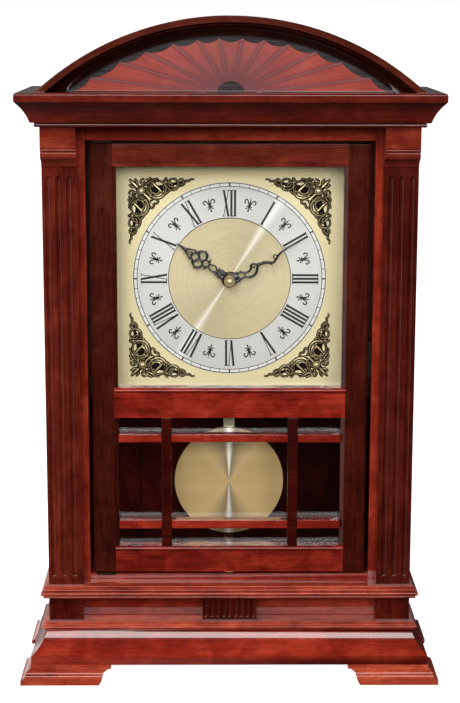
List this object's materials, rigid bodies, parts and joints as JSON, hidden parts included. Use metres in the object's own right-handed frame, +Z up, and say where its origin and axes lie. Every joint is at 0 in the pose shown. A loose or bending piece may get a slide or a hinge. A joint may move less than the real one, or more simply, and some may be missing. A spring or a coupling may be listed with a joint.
{
  "type": "mantel clock",
  "caption": "Wooden mantel clock with an arched pediment, fluted pilasters, a glazed door, a square dial with pierced hands and a swinging pendulum.",
  "frame": {"origin": "centre of the bounding box's bottom face, on the surface the feet stand on", "axes": "+Z up, -Y out of the dial, +X to the right of someone facing the dial"},
  "size_m": [0.2816, 0.1244, 0.443],
  "materials": {
    "mahogany": "gloss lacquer over red stain",
    "fan_veneer": "gloss lacquer over veneer",
    "black_veneer": "gloss lacquer, dyed black",
    "back_board": "satin",
    "brass": "spun and lacquered",
    "dial_gold": "satin gold",
    "spandrel_black_gold": "printed black and gold",
    "dial_silver": "circular brushed",
    "hand_black": "satin black",
    "black_plastic": "moulded",
    "white_plastic": "moulded",
    "board_green": "solder mask",
    "cell_label": "plain label",
    "speaker_black": "pressed steel",
    "glass": "clear float glass",
    "steel": "plain"
  },
  "bodies": {
    "case": {"bracket_feet": "mahogany", "base_mouldings": "mahogany", "base_cap_board": "mahogany", "plinth_boards": "mahogany", "plinth_blocks": "mahogany", "waist_board": "mahogany", "side_panel_right": "mahogany", "side_panel_left": "mahogany", "face_frame": "mahogany", "pilaster_right": "mahogany", "pilaster_left": "mahogany", "capitals": "mahogany", "top_board": "mahogany", "cornice_mouldings": "mahogany", "arch_moulding": "mahogany", "tympanum_panel": "fan_veneer", "fan_blades": "fan_veneer", "fan_hub": "black_veneer", "arched_cover": "mahogany", "pediment_back": "mahogany", "back_panel": "back_board", "frame_hinge_leaves": "brass", "magnetic_catch": "black_plastic", "dial_board": "back_board", "dial_plate": "dial_gold", "chapter_ring": "dial_silver", "spandrels": "spandrel_black_gold", "spandrel_screws": "brass", "fixing_nut": "brass", "movement_case": "black_plastic", "movement_cover": "black_plastic", "circuit_board": "board_green", "motor_module": "black_plastic", "batteries": "cell_label", "pendulum_drive": "black_plastic", "speaker": "speaker_black"},
    "front_door": {"door_stile_left": "mahogany", "door_stile_right": "mahogany", "door_top_rail": "mahogany", "door_mid_rail": "mahogany", "door_bottom_rail": "mahogany", "door_muntins": "mahogany", "door_glass": "glass", "glazing_beads": "mahogany", "door_hinge_leaves": "brass", "door_strike_plate": "steel"},
    "minute_arbor": {"centre_arbor": "brass", "minute_hand": "hand_black", "cap_nut": "brass"},
    "motion_wheel": {"motion_wheel": "white_plastic", "setting_knob": "white_plastic"},
    "hour_wheel": {"hour_wheel": "brass", "hour_hand": "hand_black"},
    "chime_switch": {"chime_switch": "white_plastic"},
    "volume_knob": {"volume_knob": "white_plastic"},
    "pendulum": {"pendulum_rod": "brass", "pendulum_bob": "brass"},
    "rating_nut": {"rating_nut": "brass"},
    "back_door": {"back_door": "back_board", "back_door_pins": "steel"}
  },
  "joints": [
    {"name": "front_door_hinge", "type": "hinge", "parent": "case", "child": "front_door", "pos_m": [-0.0878, -0.0241, 0.215], "axis": [0, 0, -1], "range_deg": [0, 100]},
    {"name": "minute_hand_turn", "type": "hinge", "parent": "case", "child": "minute_arbor", "pos_m": [0, 0.0024, 0.2677], "axis": [0, 1, 0], "continuous": true},
    {"name": "setting_knob_turn", "type": "hinge", "parent": "case", "child": "motion_wheel", "pos_m": [0.0125, 0.0174, 0.2677], "axis": [0, 1, 0], "continuous": true},
    {"name": "hour_hand_turn", "type": "hinge", "parent": "case", "child": "hour_wheel", "pos_m": [0, 0.0024, 0.2677], "axis": [0, 1, 0], "continuous": true},
    {"name": "chime_switch_slide", "type": "slide", "parent": "case", "child": "chime_switch", "axis": [1, 0, 0], "range_m": [-0.004, 0.004]},
    {"name": "volume_turn", "type": "hinge", "parent": "case", "child": "volume_knob", "pos_m": [0.015, 0.0274, 0.296], "axis": [0, 1, 0], "range_deg": [-135, 135]},
    {"name": "pendulum_swing", "type": "hinge", "parent": "case", "child": "pendulum", "pos_m": [0, 0.0194, 0.216], "axis": [0, 1, 0], "range_deg": [-5, 5]},
    {"name": "rating_nut_turn", "type": "hinge", "parent": "pendulum", "child": "rating_nut", "pos_m": [0, 0.0194, 0.082], "axis": [0, 0, 1], "continuous": true},
    {"name": "back_door_hinge", "type": "hinge", "parent": "case", "child": "back_door", "pos_m": [-0.07, 0.037, 0.202], "axis": [0, 0, 1], "range_deg": [0, 110]}
  ],
  "couplings": [
    {"joint": "setting_knob_turn", "follows": "minute_hand_turn", "ratio": -0.33333},
    {"joint": "hour_hand_turn", "follows": "minute_hand_turn", "ratio": 0.083333}
  ]
}
